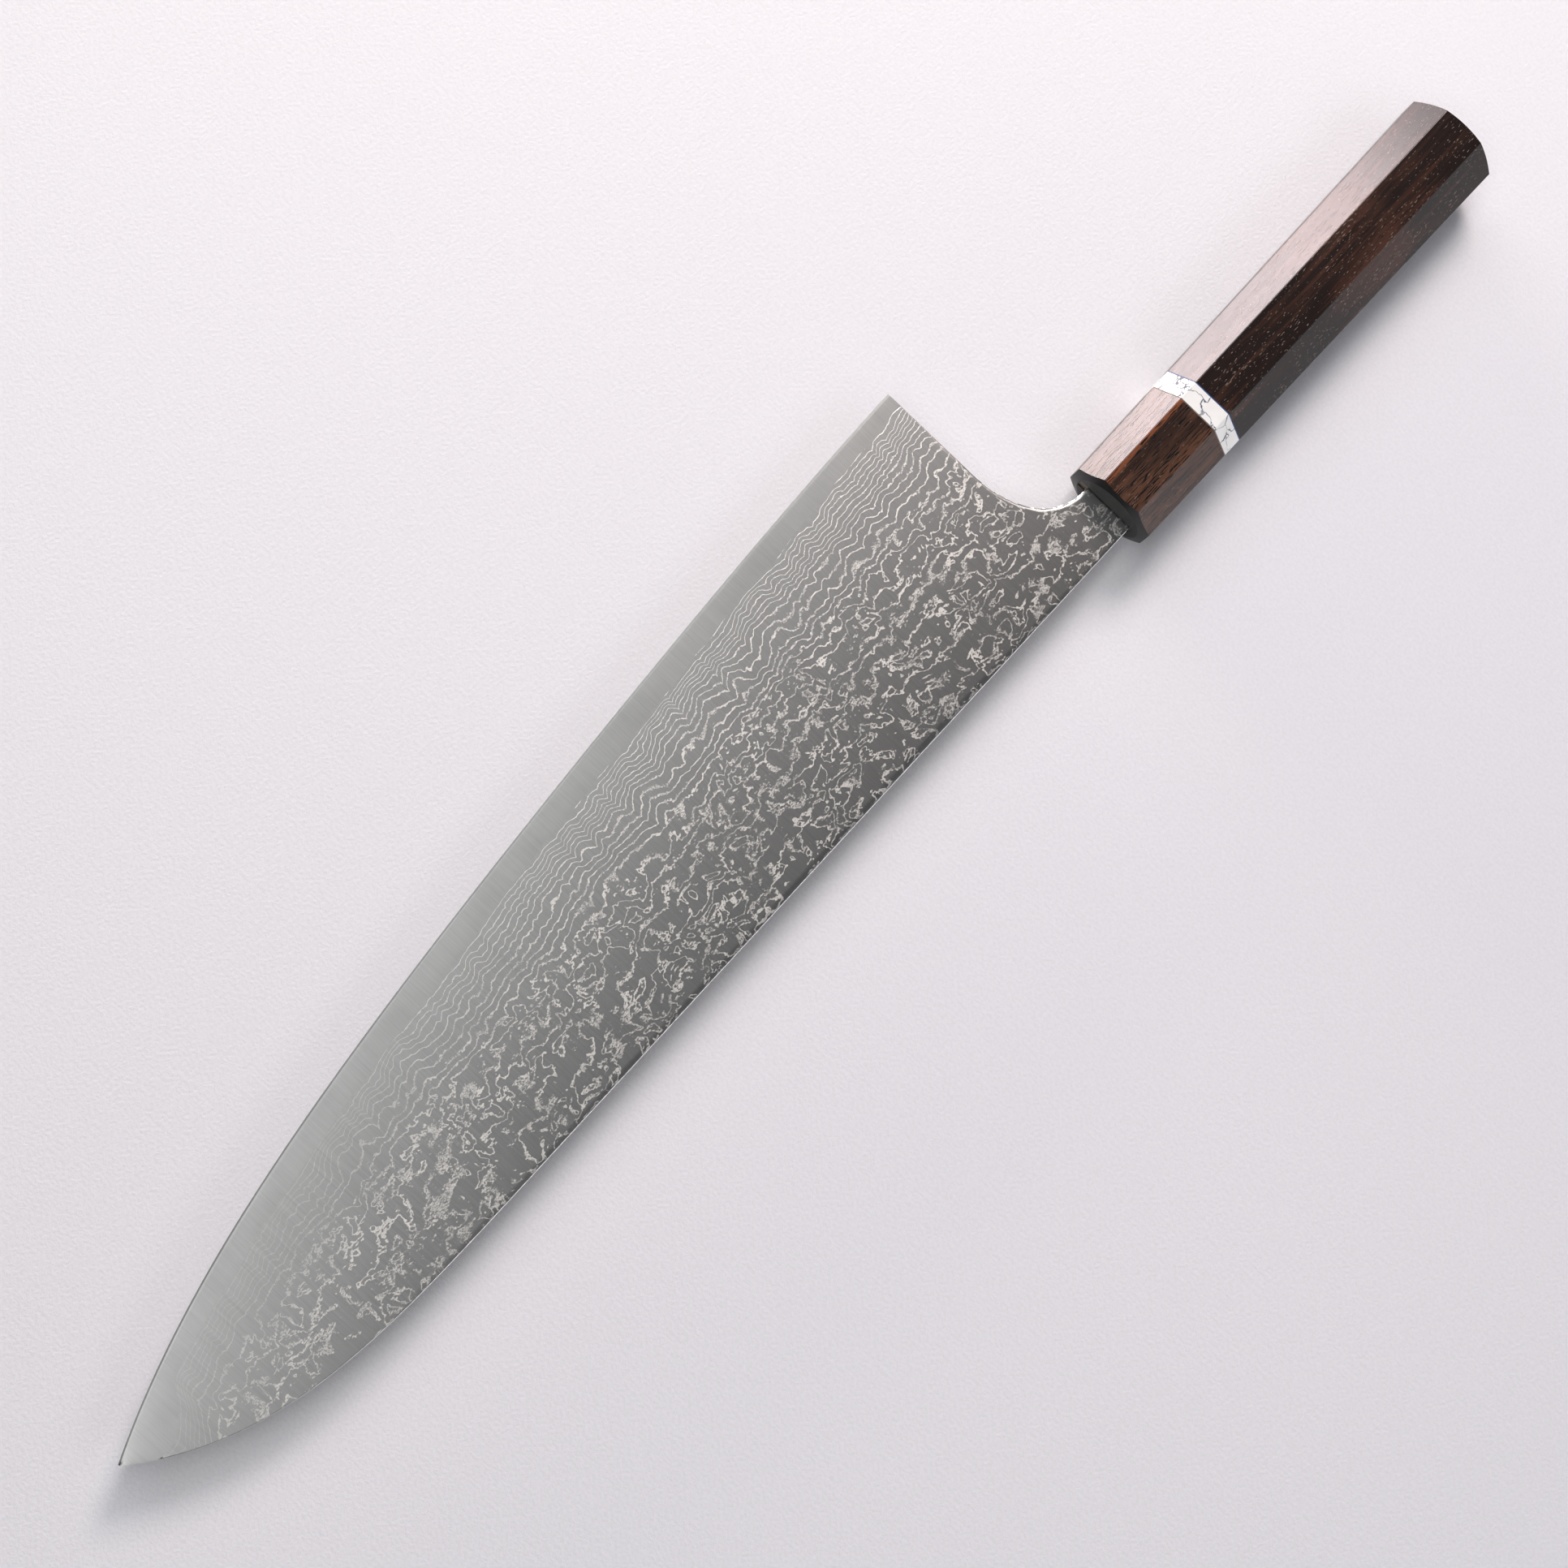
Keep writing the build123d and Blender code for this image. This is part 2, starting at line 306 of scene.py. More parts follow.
def closed_mesh(name, upper, lower):
    """A closed piece between two grids of stations, heights and distances from the middle."""
    bm = bmesh.new()
    for layer in ("from_core", "above_edge", "depth"):
        bm.verts.layers.float.new(layer)
    upper_verts = add_grid(bm, upper)
    lower_verts = add_grid(bm, lower)
    add_skin(bm, upper_verts)
    add_skin(bm, lower_verts)
    upper_rim, lower_rim = rim(upper_verts), rim(lower_verts)
    for i in range(len(upper_rim)):
        j = (i + 1) % len(upper_rim)
        bm.faces.new((upper_rim[i], upper_rim[j], lower_rim[j], lower_rim[i]))
    bmesh.ops.remove_doubles(bm, verts=bm.verts, dist=JOIN)
    bmesh.ops.dissolve_degenerate(bm, edges=bm.edges, dist=JOIN)
    bmesh.ops.recalc_face_normals(bm, faces=bm.faces)
    for face in bm.faces:
        face.smooth = True
    mesh = bpy.data.meshes.new(name)
    bm.to_mesh(mesh)
    bm.free()
    mesh.set_sharp_from_angle(angle=math.radians(SMOOTH_ANGLE))
    piece = bpy.data.objects.new(name, mesh)
    bpy.context.scene.collection.objects.link(piece)
    return piece


def cladding_grids():
    """A cladding's outer face and its face on the core."""
    outer, inner = [], []
    for low, top, _ in columns():
        points = column_points(low, top, CLADDING_ROWS)
        outer.append([(p.x, p.y, steel_half(p.x, p.y)) for p in points])
        inner.append([(p.x, p.y, core_half(p.x, p.y)) for p in points])
    return outer, inner


def bare_strip(low, top):
    """The core's bare face between the cutting edge and the border."""
    a, b = Vector(low), Vector(top)
    points = [a + (b - a) * s for s in EDGE_SHARES]
    return [(p.x, p.y, ground_half(p.x, p.y)) for p in points]


def core_grid():
    """The core's upper side: the bare strip above the edge, then the part under the cladding."""
    grid = []
    for low, top, edge in columns():
        points = column_points(low, top, CORE_ROWS)
        covered = [(p.x, p.y, core_half(p.x, p.y)) for p in points]
        if edge is None:
            bare = [covered[0]] * len(EDGE_SHARES)
        else:
            bare = bare_strip(edge, low)
        grid.append(bare + covered)
    for i in range(1, TIP_COLUMNS + 1):
        x = CORE_END + (TIP_X - TIP_BLUNT - CORE_END) * i / TIP_COLUMNS
        bare = bare_strip((x, edge_y(x)), (x, spine_y(x)))
        grid.append(bare + [bare[-1]] * (CORE_ROWS + 2 * len(EASE_SHARES)))
    return grid


def mirrored(grid):
    """The same grid on the other side of the middle plane."""
    return [[(x, y, -z) for x, y, z in column] for column in grid]


# ---- Node helpers --------------------------------------------------------------------------------
class Nodes:
    """Builds a material's node tree with short calls."""

    def __init__(self, name):
        self.material = bpy.data.materials.new(name)
        self.material.use_nodes = True
        self.tree = self.material.node_tree
        self.tree.nodes.clear()
        self.output = self.tree.nodes.new("ShaderNodeOutputMaterial")

    def node(self, kind, **settings):
        made = self.tree.nodes.new(kind)
        for key, value in settings.items():
            setattr(made, key, value)
        return made

    def link(self, value, socket):
        """Links another node's output, or sets a plain number or colour."""
        if isinstance(value, bpy.types.NodeSocket):
            self.tree.links.new(value, socket)
        elif isinstance(value, tuple) and socket.type == "RGBA":
            socket.default_value = (*value, 1)
        else:
            socket.default_value = value

    def math(self, operation, a, b=0.0):
        made = self.node("ShaderNodeMath", operation=operation)
        self.link(a, made.inputs[0])
        self.link(b, made.inputs[1])
        return made.outputs[0]

    def add(self, a, b):
        return self.math("ADD", a, b)

    def minus(self, a, b):
        return self.math("SUBTRACT", a, b)

    def times(self, a, b):
        return self.math("MULTIPLY", a, b)

    def swing(self, value, amount):
        """A noise value between 0 and 1, turned into a swing around zero."""
        return self.times(self.minus(value, 0.5), amount)

    def ramp(self, value, low, high, to_low=0.0, to_high=1.0):
        """A smooth step from to_low at low to to_high at high."""
        made = self.node("ShaderNodeMapRange", interpolation_type="SMOOTHSTEP")
        self.link(value, made.inputs["Value"])
        self.link(low, made.inputs["From Min"])
        self.link(high, made.inputs["From Max"])
        self.link(to_low, made.inputs["To Min"])
        self.link(to_high, made.inputs["To Max"])
        return made.outputs["Result"]

    def mix(self, factor, a, b, blend="MIX"):
        made = self.node("ShaderNodeMix", data_type="RGBA", blend_type=blend)
        self.link(factor, made.inputs["Factor"])
        self.link(a, made.inputs["A"])
        self.link(b, made.inputs["B"])
        return made.outputs["Result"]

    def tinted(self, color, tone):
        """A colour made lighter or darker by a value around 1."""
        return self.mix(1.0, color, tone, "MULTIPLY")

    def place(self):
        """The place in metres, split into X, Y and Z."""
        split = self.node("ShaderNodeSeparateXYZ")
        self.link(self.node("ShaderNodeTexCoord").outputs["Object"], split.inputs[0])
        return split.outputs

    def coords(self, scale, turn=(0, 0, 0), shift=(0, 0, 0)):
        """The place in metres, scaled: a noise has features of 1 / scale along each axis."""
        made = self.node("ShaderNodeMapping")
        self.link(self.node("ShaderNodeTexCoord").outputs["Object"], made.inputs["Vector"])
        made.inputs["Rotation"].default_value = turn
        made.inputs["Scale"].default_value = scale
        made.inputs["Location"].default_value = shift
        return made.outputs["Vector"]

    def noise_outputs(self, vector, detail, roughness, distortion):
        made = self.node("ShaderNodeTexNoise", noise_type="FBM", normalize=True)
        self.link(vector, made.inputs["Vector"])
        made.inputs["Scale"].default_value = 1.0
        made.inputs["Detail"].default_value = detail
        made.inputs["Roughness"].default_value = roughness
        made.inputs["Distortion"].default_value = distortion
        return made.outputs

    def noise(self, vector, detail=2.0, roughness=0.5, distortion=0.0):
        """A cloudy value between 0 and 1."""
        return self.noise_outputs(vector, detail, roughness, distortion)["Fac"]

    def warped(self, vector, pushed_at, detail, reach):
        """A vector moved about by a noise, by up to reach along each axis."""
        made = self.node("ShaderNodeVectorMath", operation="MULTIPLY_ADD")
        push = self.noise_outputs(pushed_at, detail, 0.5, 0.0)["Color"]
        self.link(push, made.inputs[0])
        made.inputs[1].default_value = reach
        self.link(vector, made.inputs[2])
        return made.outputs[0]

    def attribute(self, name):
        """A value that the mesh carries at its corners."""
        return self.node("ShaderNodeAttribute", attribute_name=name).outputs["Fac"]

    def bump(self, height, distance, strength):
        """A normal that follows a height, where 1 stands for the distance in metres."""
        made = self.node("ShaderNodeBump")
        self.link(height, made.inputs["Height"])
        made.inputs["Distance"].default_value = distance
        made.inputs["Strength"].default_value = strength
        return made.outputs["Normal"]

    def surface(self, color, roughness, normal=None, metallic=0.0):
        """The Principled shader that ends the tree. metallic stays a plain number."""
        shader = self.node("ShaderNodeBsdfPrincipled")
        self.link(color, shader.inputs["Base Color"])
        self.link(roughness, shader.inputs["Roughness"])
        if normal is not None:
            self.link(normal, shader.inputs["Normal"])
        shader.inputs["Metallic"].default_value = metallic
        self.tree.links.new(shader.outputs[0], self.output.inputs["Surface"])


# ---- Blade materials -----------------------------------------------------------------------------
RIGHT_SEED, LEFT_SEED, CORE_SEED = 0.0, 40.0, 11.0  # each shifts a pattern's noises
STEEL = (0.285, 0.287, 0.284)
NICKEL = (0.62, 0.60, 0.57)
# Polished steel of the eased spine and choil: brighter than the etched steel, and set brighter than
# steel reflects to strengthen their highlight, so partly real polish and partly painted highlight.
POLISHED_WITH_HIGHLIGHT = (0.94, 0.94, 0.93)
STEEL_ROUGHNESS = 0.30
NICKEL_ROUGHNESS = 0.45
POLISHED_ROUGHNESS = 0.22
POLISH_START, POLISH_FULL = 0.03, 0.12  # millimetres that an eased corner lies below the flat
# The bevel's darker tone is a painted dark reflection, not a colour of the steel.
BEVEL_BLUR = 1.2  # the bevel's darker tone has faded out at this many times its height
BRUSH_TURN = (0, 0, math.radians(-11))  # the hand-rubbed lines run almost straight across the blade
BRUSH_DEPTH = 0.00001  # metres
BUMP_STRENGTH = 0.4
LAYER_DEPTH = 0.12  # millimetres that one layer takes where an eased corner cuts through it
FOLD_HEIGHT = 12.0  # millimetres that a line moves when the folds' noise rises by 1
KINK_HEIGHT = 1.8  # the same for the small kinks
LINE_SOFTNESS = 0.025  # width of a line's soft edge, as a share of the layers' spacing


def brushing(n, seed):
    """Fine hand-rubbed lines across the blade, as a value around a half."""
    fine = n.noise(n.coords((6000, 130, 300), BRUSH_TURN, (seed, 0, 0)))
    broad = n.noise(n.coords((1500, 40, 100), BRUSH_TURN, (seed + 5, 0, 0)))
    return n.add(n.times(fine, 0.6), n.times(broad, 0.4))


def along_blade(n, start, end, low, high):
    """A value that changes along the blade between two stations, given in metres."""
    return n.ramp(n.place()["X"], AXIS.x + start, AXIS.x + end, low, high)


def folded(n, climb, seed):
    """The height above the border, bent by sharp folds that neighbouring layers share."""
    folds = n.noise(n.coords((85, 26, 60), shift=(seed, 1, 0)), 2.0, 0.6)
    ridges = n.math("ABSOLUTE", n.minus(folds, 0.5))
    kinks = n.noise(n.coords((300, 90, 200), shift=(seed, 6, 0)), 1.0)
    shift = n.add(n.times(ridges, FOLD_HEIGHT), n.swing(kinks, KINK_HEIGHT))
    off_border = n.ramp(climb, 0.0, 3.0, 0.15, 1.0)
    bent = n.add(climb, n.times(n.minus(shift, 1.0), off_border))
    return n.math("MAXIMUM", bent, 0.0)


def layer_count(n, climb):
    """How many layers the grind has cut through at a height above the border."""
    reach = along_blade(n, 0.10, 0.29, 22.0, 8.0)
    layers = along_blade(n, 0.10, 0.29, 20.0, 9.0)
    left = n.math("EXPONENT", n.math("DIVIDE", climb, n.times(reach, -1.0)))
    return n.times(n.minus(1.0, left), layers)


def uneven_layers(n, climb, plateau, seed):
    """The layers' own unevenness: crowded bunches, and hills that open into loops and islands."""
    bunches = n.noise(n.coords((22, 130, 60), shift=(seed, 9, 0)), 1.0)
    hills = n.noise(n.coords((165, 200, 165), shift=(seed, seed, 0)), 3.0, 0.52, 0.5)
    clusters = n.noise(n.coords((70, 90, 70), shift=(seed, 5, 5)), 1.0)
    steepness = n.ramp(clusters, 0.38, 0.62, 2.8, 6.4)
    count = layer_count(n, folded(n, climb, seed))
    total = n.add(count, n.swing(bunches, n.ramp(plateau, 0, 1, 3.4, 1.0)))
    return n.add(total, n.swing(hills, n.ramp(plateau, 0, 1, 1.0, steepness)))


def torn_edges(n, climb, plateau, patches, seed):
    """Raggedness of the lines, strong in some places and almost absent in others."""
    places = n.noise(n.coords((130, 130, 130), shift=(seed, 3, 7)), 1.0)
    torn = n.ramp(places, 0.4, 0.62, 0.25, 1.0)
    rags = n.noise(n.coords((1500, 5200, 1500), shift=(seed, 0, 3)), 2.0, 0.6)
    rags = n.times(torn, n.swing(rags, n.ramp(climb, 3.0, 14.0, 0.35, 1.15)))
    grit = n.noise(n.coords((800, 1100, 700), shift=(0, seed, 3)), 3.0, 0.65)
    grit_height = n.add(n.ramp(plateau, 0, 1, 0.35, 0.6), n.times(patches, 0.8))
    return n.add(rags, n.swing(grit, grit_height))


def nickel_lines(n, seed):
    """1 on the bright lines between the forged layers, 0 on the steel, with the lines faded towards
    the tip as a painted reflection.
    """
    climb = n.attribute("from_core")
    plateau_start = along_blade(n, 0.15, 0.28, 14.0, 6.0)
    plateau_full = along_blade(n, 0.15, 0.28, 24.0, 15.0)
    plateau = n.ramp(climb, plateau_start, plateau_full)
    patches = n.noise(n.coords((230, 300, 230), shift=(seed, 2, 9)), 1.0)
    patches = n.times(n.ramp(patches, 0.54, 0.66), n.ramp(climb, 8.0, 18.0))
    total = uneven_layers(n, climb, plateau, seed)
    total = n.add(total, torn_edges(n, climb, plateau, patches, seed))
    total = n.add(total, n.math("DIVIDE", n.attribute("depth"), LAYER_DEPTH))
    phase = n.math("ABSOLUTE", n.minus(n.math("FRACT", total), 0.5))
    width = n.add(n.ramp(plateau, 0, 1, 0.045, 0.058), n.times(patches, 0.045))
    line = n.ramp(phase, width, n.add(width, LINE_SOFTNESS), 1.0, 0.0)
    # Towards the tip, and most near the edge, the lines are faded: a painted bright reflection that
    # washes them out, not a change in the layers.
    lines_glare_fade = n.ramp(climb, 3.0, 26.0, 0.16, 0.85)
    return n.times(line, along_blade(n, 0.12, 0.275, 1.0, lines_glare_fade))


def damascus(name, seed):
    """Etched steel with bright nickel lines where the grind cuts the forged layers."""
    n = Nodes(name)
    brush = brushing(n, seed)
    polish = n.ramp(n.attribute("depth"), POLISH_START, POLISH_FULL)
    line = n.times(nickel_lines(n, seed), n.minus(1.0, polish))
    # The eased corners take the polished colour: real polish with a partly painted highlight.
    steel = n.mix(polish, STEEL, POLISHED_WITH_HIGHLIGHT)
    color = n.tinted(n.mix(line, steel, NICKEL), n.ramp(brush, 0.3, 0.7, 0.93, 1.07))
    roughness = n.ramp(line, 0, 1, STEEL_ROUGHNESS, NICKEL_ROUGHNESS)
    roughness = n.add(roughness, n.times(polish, POLISHED_ROUGHNESS - STEEL_ROUGHNESS))
    relief = n.add(n.times(line, 0.5), n.times(brush, 0.5))
    n.surface(color, roughness, n.bump(relief, BRUSH_DEPTH, BUMP_STRENGTH), metallic=1.0)
    return n.material


def bare_core(name):
    """The plain hard steel along the cutting edge, with the same hand-rubbed finish, and a painted
    dark reflection on the sharpening bevel.
    """
    n = Nodes(name)
    brush = brushing(n, CORE_SEED)
    cloud = n.noise(n.coords((60, 120, 60)))
    tone = n.add(n.ramp(brush, 0.3, 0.7, 0.94, 1.06), n.ramp(cloud, 0.3, 0.7, -0.04, 0.04))
    # Where the corners are eased the steel takes the polished colour: real polish with a partly
    # painted highlight.
    polish = n.ramp(n.attribute("depth"), POLISH_START, POLISH_FULL)
    # The sharpening bevel is painted darker, most towards the tip: a painted dark reflection.
    bevel = n.ramp(n.attribute("above_edge"), BEVEL, BEVEL_BLUR * BEVEL, 1.0, 0.0)
    bevel_painted_reflection = n.ramp(bevel, 0, 1, 1.0, along_blade(n, 0.10, 0.28, 0.62, 0.40))
    color = n.tinted(n.mix(polish, STEEL, POLISHED_WITH_HIGHLIGHT), n.times(tone, bevel_painted_reflection))
    roughness = n.ramp(polish, 0, 1, STEEL_ROUGHNESS, POLISHED_ROUGHNESS)
    n.surface(color, roughness, n.bump(brush, BRUSH_DEPTH, BUMP_STRENGTH), metallic=1.0)
    return n.material


# ---- Handle materials ----------------------------------------------------------------------------
PORE = (0.004, 0.003, 0.003)
PALE_PORE = (0.26, 0.20, 0.16)
AXIS_FACE_COLOR = (0.005, 0.0047, 0.0045)
PORE_DEPTH = 0.00001  # metres
GRAIN_DEPTH = 0.00003  # metres
FERRULE_SEED, BODY_SEED = 3.0, 9.0
FERRULE_DARK = (0.030, 0.015, 0.011)
FERRULE_LIGHT = (0.100, 0.046, 0.028)
STREAK = (0.24, 0.075, 0.03)
STREAK_Y = -0.0050  # metres from the handle's axis to the streak, at the edge of the upper flat
STREAK_WOBBLE = 0.0012  # metres
FLAME_WOBBLE = 0.02  # metres
BODY_DARK = (0.013, 0.0075, 0.0065)
BODY_LIGHT = (0.060, 0.025, 0.017)
STONE = (0.93, 0.92, 0.91)
VEIN = (0.09, 0.11, 0.15)


def plain(name, color, roughness):
    """A fine-grained material: fibre sheet, hidden wood or glue."""
    n = Nodes(name)
    speck = n.noise(n.coords((900, 900, 900)), 3.0)
    tone = n.ramp(speck, 0.3, 0.7, 0.8, 1.2)
    n.surface(n.tinted(color, tone), roughness, n.bump(speck, GRAIN_DEPTH, BUMP_STRENGTH))
    return n.material


def faces_along_axis(n):
    """1 on the faces that look along X (the nose, its chamfer and the butt), 0 on the flats."""
    normal = n.node("ShaderNodeSeparateXYZ")
    n.link(n.node("ShaderNodeNewGeometry").outputs["True Normal"], normal.inputs[0])
    return n.ramp(n.math("ABSOLUTE", normal.outputs["X"]), 0.3, 0.5)


def figure(n, seed):
    """The wood's figure around a half: fine wavy lines over broad bands along the handle."""
    lines = n.coords((22, 620, 620), shift=(seed, 0, 0))
    lines = n.warped(lines, n.coords((30, 90, 90), shift=(seed, 8, 0)), 1.0, (0.3, 1.6, 1.6))
    fine = n.noise(lines, 3.0, 0.65)
    broad = n.noise(n.coords((20, 130, 130), shift=(seed, 4, 0)))
    return n.add(n.times(fine, 0.55), n.times(broad, 0.45))


def dashes(n, seed, scale, threshold):
    """Short open pores along the grain, gathered in some places."""
    crowd = n.noise(n.coords((45, 260, 260), shift=(seed, 5, 2)), 1.0)
    dots = n.noise(n.coords(scale, shift=(seed, 2, 0)), 1.0)
    level = n.add(dots, n.swing(crowd, 0.18))
    return n.ramp(level, threshold, threshold + 0.05)


def polished_wood(n, color, pore, pale_pore):
    """Joins the wood's colour, its pores and the near-black faces that look along X under a
    hand-rubbed polish.
    """
    ends = faces_along_axis(n)
    color = n.mix(pore, color, PORE)
    color = n.mix(pale_pore, color, PALE_PORE)
    color = n.mix(ends, color, AXIS_FACE_COLOR)
    holes = n.math("MAXIMUM", pore, pale_pore)
    smear = n.noise(n.coords((120, 700, 700)))
    roughness = n.ramp(smear, 0.3, 0.7, 0.205, 0.225)
    roughness = n.add(roughness, n.times(holes, 0.03))
    roughness = n.add(roughness, n.times(ends, 0.2))
    n.surface(color, roughness, n.bump(n.minus(0.0, holes), PORE_DEPTH, 0.2))


def ferrule_wood(name):
    """Brown ebony with long dark pores and an orange streak at the edge of the upper flat."""
    n = Nodes(name)
    seed = FERRULE_SEED
    color = n.mix(n.ramp(figure(n, seed), 0.42, 0.60), FERRULE_DARK, FERRULE_LIGHT)
    wobble = n.noise(n.coords((60, 400, 400), shift=(seed, 1, 1)))
    offset = n.minus(n.place()["Y"], AXIS.y + STREAK_Y)
    offset = n.math("ABSOLUTE", n.add(offset, n.swing(wobble, STREAK_WOBBLE)))
    color = n.mix(n.ramp(offset, 0.0002, 0.0009, 0.8, 0.0), color, STREAK)
    pore = dashes(n, seed, (240, 3300, 3300), 0.56)
    pale_pore = n.times(dashes(n, seed + 4, (800, 4200, 4200), 0.70), 0.6)
    polished_wood(n, color, pore, pale_pore)
    return n.material


def body_wood(name):
    """Near-black ebony with a brown flame towards the butt and pale dotted pores."""
    n = Nodes(name)
    seed = BODY_SEED
    wobble = n.noise(n.coords((60, 160, 160), shift=(seed, 1, 1)))
    x = n.add(n.place()["X"], n.swing(wobble, FLAME_WOBBLE))
    flame_start = n.ramp(x, AXIS.x - 0.110, AXIS.x - 0.100)
    flame_end = n.ramp(x, AXIS.x - 0.085, AXIS.x - 0.062, 1, 0)
    level = n.add(figure(n, seed), n.times(n.times(flame_start, flame_end), 0.11))
    color = n.mix(n.ramp(level, 0.46, 0.68), BODY_DARK, BODY_LIGHT)
    pore = dashes(n, seed, (300, 3600, 3600), 0.66)
    pale_pore = n.times(dashes(n, seed + 4, (900, 4200, 4200), 0.675), 0.9)
    polished_wood(n, color, pore, pale_pore)
    return n.material


def stone(name):
    """White stone with a net of fine branching grey-blue veins."""
    n = Nodes(name)
    net = n.coords((200, 150, 170), shift=(1.7, 0.4, 0.2))
    cells = n.node("ShaderNodeTexVoronoi", feature="DISTANCE_TO_EDGE")
    cells.inputs["Scale"].default_value = 1.0
    n.link(n.warped(net, n.coords((300, 300, 300)), 3.0, (0.9, 0.9, 0.9)), cells.inputs["Vector"])
    width = n.ramp(n.noise(n.coords((500, 500, 500))), 0.35, 0.65, 0.016, 0.055)
    vein = n.ramp(cells.outputs["Distance"], n.times(width, 0.3), width, 1.0, 0.0)
    patches = n.ramp(n.noise(n.coords((160, 160, 160))), 0.36, 0.50, 0.25, 1.0)
    cloud = n.ramp(n.noise(n.coords((240, 240, 240), shift=(4, 0, 0)), 3.0), 0.3, 0.7, 0.96, 1.02)
    color = n.mix(n.times(vein, patches), n.tinted(STONE, cloud), VEIN)
    n.surface(color, n.ramp(vein, 0, 1, 0.22, 0.4))
    return n.material


# ---- Stage ---------------------------------------------------------------------------------------
PAPER = (0.852, 0.846, 0.884)
PAPER_ROUGHNESS = 0.9
PAPER_RELIEF = 0.0002  # metres
FLOOR_HALF = 3.0  # metres
HORIZON_GLOW = 0.8  # the world's brightness at the horizon
OVERHEAD_GLOW = 0.02
GLOW_TOP = 0.48  # the glow ends where a direction's Z is this high
CAMERA_PLACE = (0.20724, -0.01295, 0.76124)  # metres
CAMERA_TURN = (9.4083, -11.1094, 132.3344)  # degrees
CAMERA_LENS = 74.53  # millimetres
CAMERA_SENSOR = 36.0  # millimetres


def paper(name):
    """Matt white paper with a faint grain."""
    n = Nodes(name)
    fibre = n.noise(n.coords((1100, 1100, 1100)), 3.0, 0.6)
    tone = n.ramp(fibre, 0.2, 0.8, 0.97, 1.03)
    n.surface(n.tinted(PAPER, tone), PAPER_ROUGHNESS, n.bump(fibre, PAPER_RELIEF, 0.8))
    return n.material


def build_floor():
    """The sheet of paper that the knife lies on."""
    mesh = bpy.data.meshes.new("floor")
    half = FLOOR_HALF
    corners = [(-half, -half, 0), (half, -half, 0), (half, half, 0), (-half, half, 0)]
    mesh.from_pydata(corners, [], [(0, 1, 2, 3)])
    floor = bpy.data.objects.new("floor", mesh)
    bpy.context.scene.collection.objects.link(floor)
    mesh.materials.append(paper("paper"))
    floor.location.z = cad_box[0][2]


def area_light(name, size, radiance):
    """A rectangular softbox, as bright as its radiance says whatever its size."""
    data = bpy.data.lights.new(name, "AREA")
    data.shape = "RECTANGLE"
    data.size, data.size_y = size
    strength = max(radiance)
    data.color = [c / strength for c in radiance]
    data.energy = math.pi * size[0] * size[1] * strength
    lamp = bpy.data.objects.new(name, data)
    bpy.context.scene.collection.objects.link(lamp)
    return lamp


def softbox(name, azimuth, elevation, distance, size, radiance):
    """A softbox around the knife that faces its middle. Azimuth and elevation are in degrees."""
    lamp = area_light(name, size, radiance)
    flat = distance * math.cos(math.radians(elevation))
    lamp.location = (
        flat * math.cos(math.radians(azimuth)),
        flat * math.sin(math.radians(azimuth)),
        distance * math.sin(math.radians(elevation)),
    )
    lamp.rotation_euler = (-lamp.location).to_track_quat("-Z", "Y").to_euler()


def ceiling_panel(name, rear_middle, size, turn, radiance):
    """A level panel above the knife, turned by turn degrees around the middle of its +Y edge."""
    lamp = area_light(name, size, radiance)
    angle = math.radians(turn)
    inwards = Vector((math.sin(angle), -math.cos(angle), 0))
    lamp.location = Vector(rear_middle) + inwards * size[1] / 2
    lamp.rotation_euler = (0, 0, angle)


def build_lights():
    """The key casts the shadows, low lamps show in the handle's facets and panels in the steel."""
    softbox("key", -152, 45, 1.15, (0.38, 0.38), (14.6, 12.8, 12.3))
    softbox("side", -116, 45, 1.5, (1.0, 0.7), (1.6, 1.68, 1.85))
    softbox("low_left", -102, 5, 1.2, (0.3, 0.2), (24, 22, 15))
    softbox("low_middle", -112, 5, 1.2, (0.25, 0.2), (11.6, 9.8, 9.8))
    softbox("low_right", -122, 5, 1.2, (0.25, 0.2), (18.5, 15.8, 16.1))
    softbox("far_rim", 95, 4, 1.2, (0.8, 0.12), (4.5, 4.6, 4.8))
    softbox("tip_rim", 62, 4, 1.2, (0.6, 0.12), (4.5, 4.6, 4.8))
    ceiling_panel("panel", (-0.03, -0.1, 1.0), (1.4, 0.27), 13.7, (3.4, 3.4, 3.4))
    ceiling_panel("fill", (-0.3, 1.3, 1.0), (1.2, 0.8), 0, (0.82, 0.86, 0.94))
    ceiling_panel("panel_tip", (0.39, 0.45, 1.0), (0.34, 0.65), 0, (1.0, 1.0, 1.0))


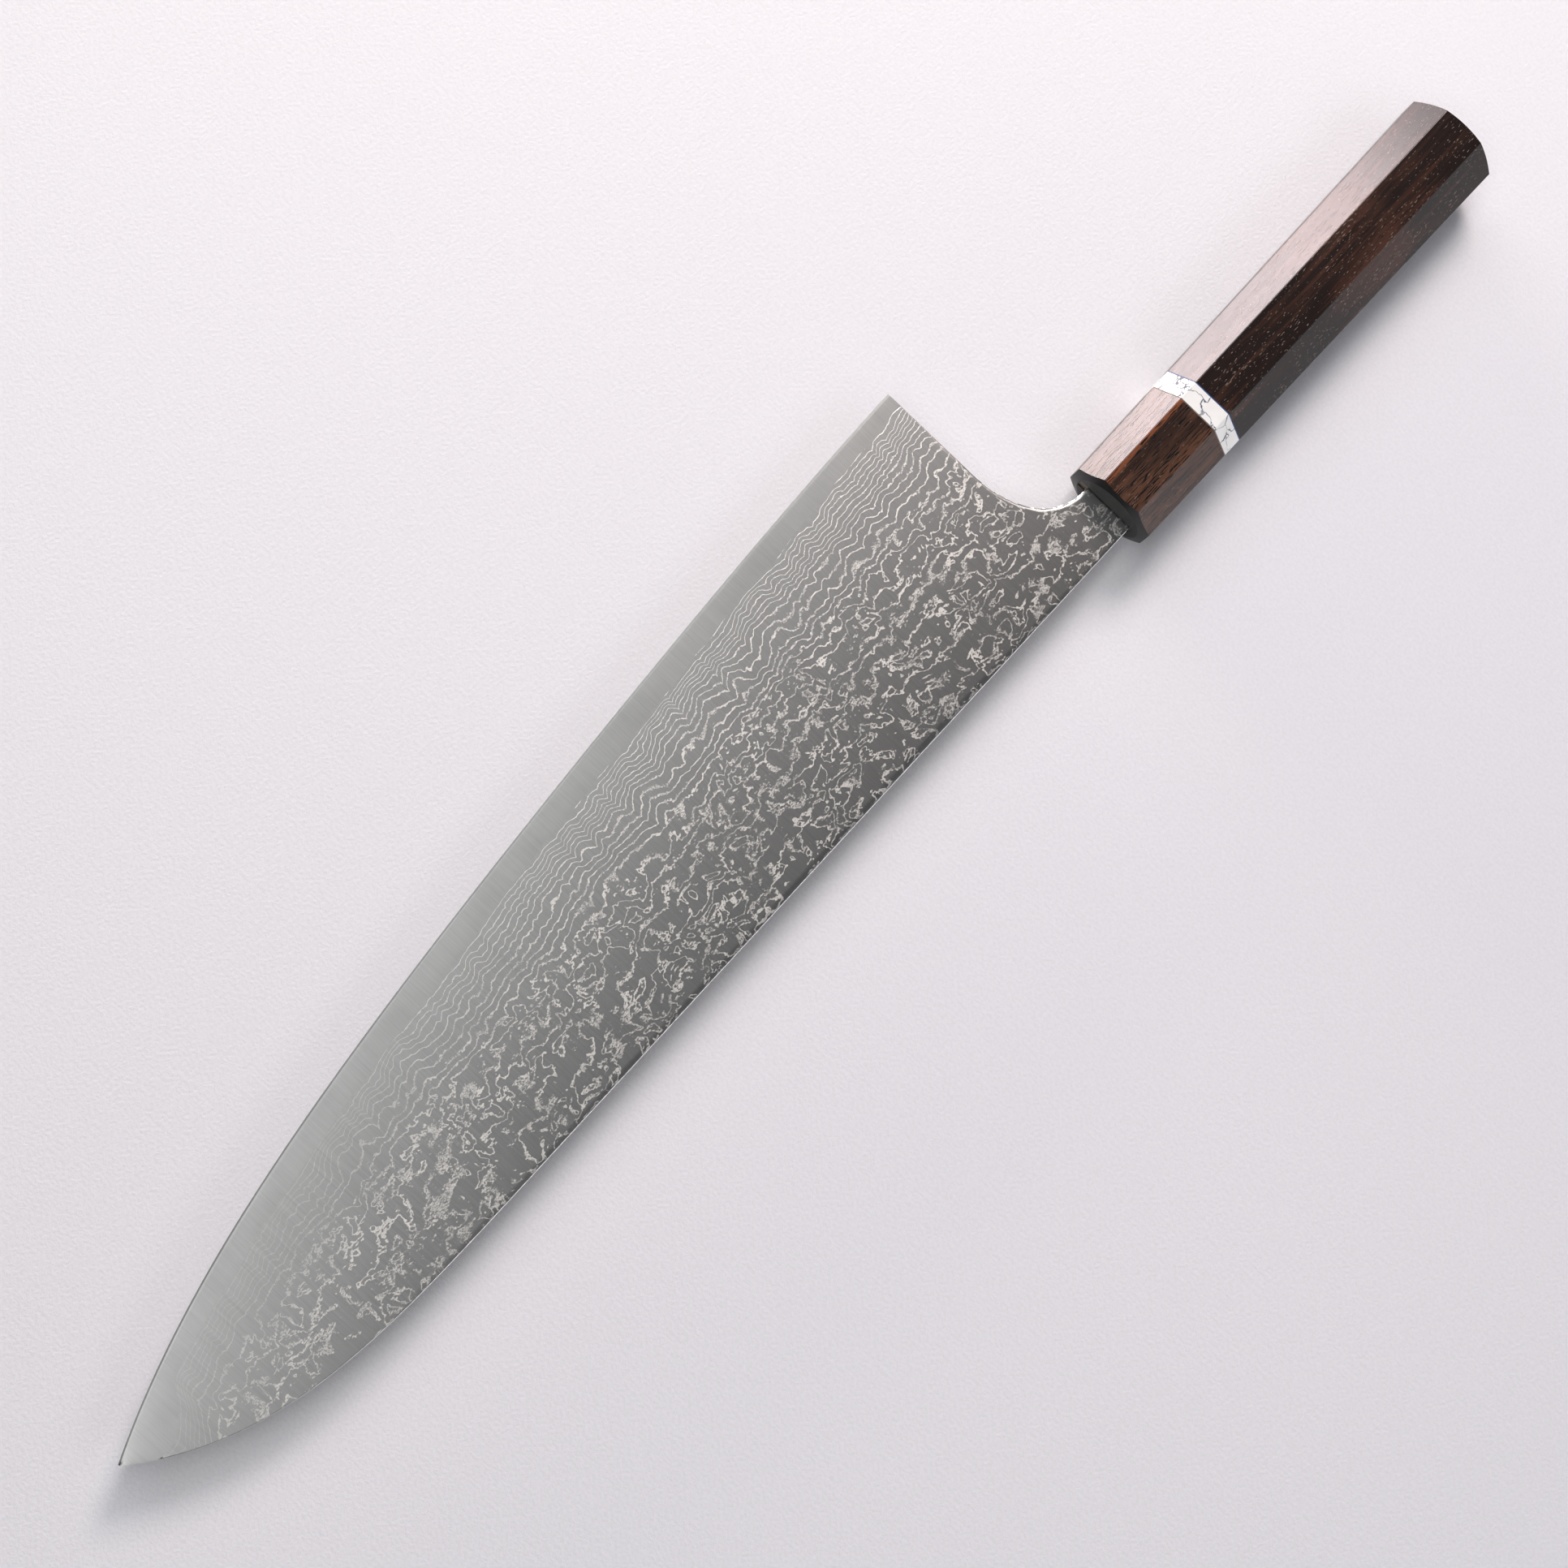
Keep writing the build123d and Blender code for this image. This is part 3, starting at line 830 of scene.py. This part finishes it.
def build_world():
    """A soft studio: dim overhead and brighter towards the horizon."""
    world = bpy.data.worlds.new("studio")
    bpy.context.scene.world = world
    world.use_nodes = True
    tree = world.node_tree
    split = tree.nodes.new("ShaderNodeSeparateXYZ")
    tree.links.new(tree.nodes.new("ShaderNodeTexCoord").outputs["Generated"], split.inputs[0])
    glow = tree.nodes.new("ShaderNodeMapRange")
    glow.interpolation_type = "SMOOTHSTEP"
    tree.links.new(split.outputs["Z"], glow.inputs["Value"])
    glow.inputs["From Min"].default_value = GLOW_TOP
    glow.inputs["From Max"].default_value = 0.0
    glow.inputs["To Min"].default_value = OVERHEAD_GLOW
    glow.inputs["To Max"].default_value = HORIZON_GLOW
    background = tree.nodes["Background"]
    tree.links.new(glow.outputs["Result"], background.inputs["Strength"])
    background.inputs["Color"].default_value = (1, 1, 1, 1)


def build_camera():
    """Looks down on the knife from where the photograph was taken."""
    data = bpy.data.cameras.new("camera")
    data.lens = CAMERA_LENS
    data.sensor_width = CAMERA_SENSOR
    camera = bpy.data.objects.new("camera", data)
    camera.location = CAMERA_PLACE
    camera.rotation_euler = Euler([math.radians(a) for a in CAMERA_TURN])
    bpy.context.scene.collection.objects.link(camera)
    bpy.context.scene.camera = camera


# ---- The knife -----------------------------------------------------------------------------------
def build_blade():
    """The core and the two claddings, in place of the solids that they follow."""
    outer, inner = cladding_grids()
    upper = core_grid()
    core = closed_mesh("blade_core", upper, mirrored(upper))
    right = closed_mesh("damascus_right", outer, inner)
    left = closed_mesh("damascus_left", mirrored(outer), mirrored(inner))
    core.data.materials.append(bare_core("core steel"))
    right.data.materials.append(damascus("damascus right", RIGHT_SEED))
    left.data.materials.append(damascus("damascus left", LEFT_SEED))
    for piece, node, slot in (
        (core, "core_steel", "core_steel"),
        (right, "cladding_right", "damascus_steel"),
        (left, "cladding_left", "damascus_steel"),
    ):
        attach(piece, "root")
        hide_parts(node)


def dress(node, material):
    """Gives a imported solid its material."""
    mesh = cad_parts[node].data
    mesh.materials.clear()
    mesh.materials.append(material)


def dress_handle():
    """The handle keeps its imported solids, each with a material of its own."""
    dress("ferrule", ferrule_wood("ferrule wood"))
    dress("handle_body", body_wood("body wood"))
    dress("spacer_ring", stone("white stone"))
    dress("front_liner", plain("front fibre", (0.15, 0.125, 0.105), 0.5))
    dress("rear_liner", plain("rear fibre", (0.014, 0.065, 0.22), 0.45))
    dress("tang_dowel", plain("dowel wood", (0.62, 0.47, 0.3), 0.6))
    dress("tang_epoxy", plain("epoxy", (0.1, 0.08, 0.06), 0.4))


build_camera()
build_world()
build_floor()
build_lights()
build_blade()
dress_handle()

bpy.context.scene.view_settings.view_transform = "Standard"
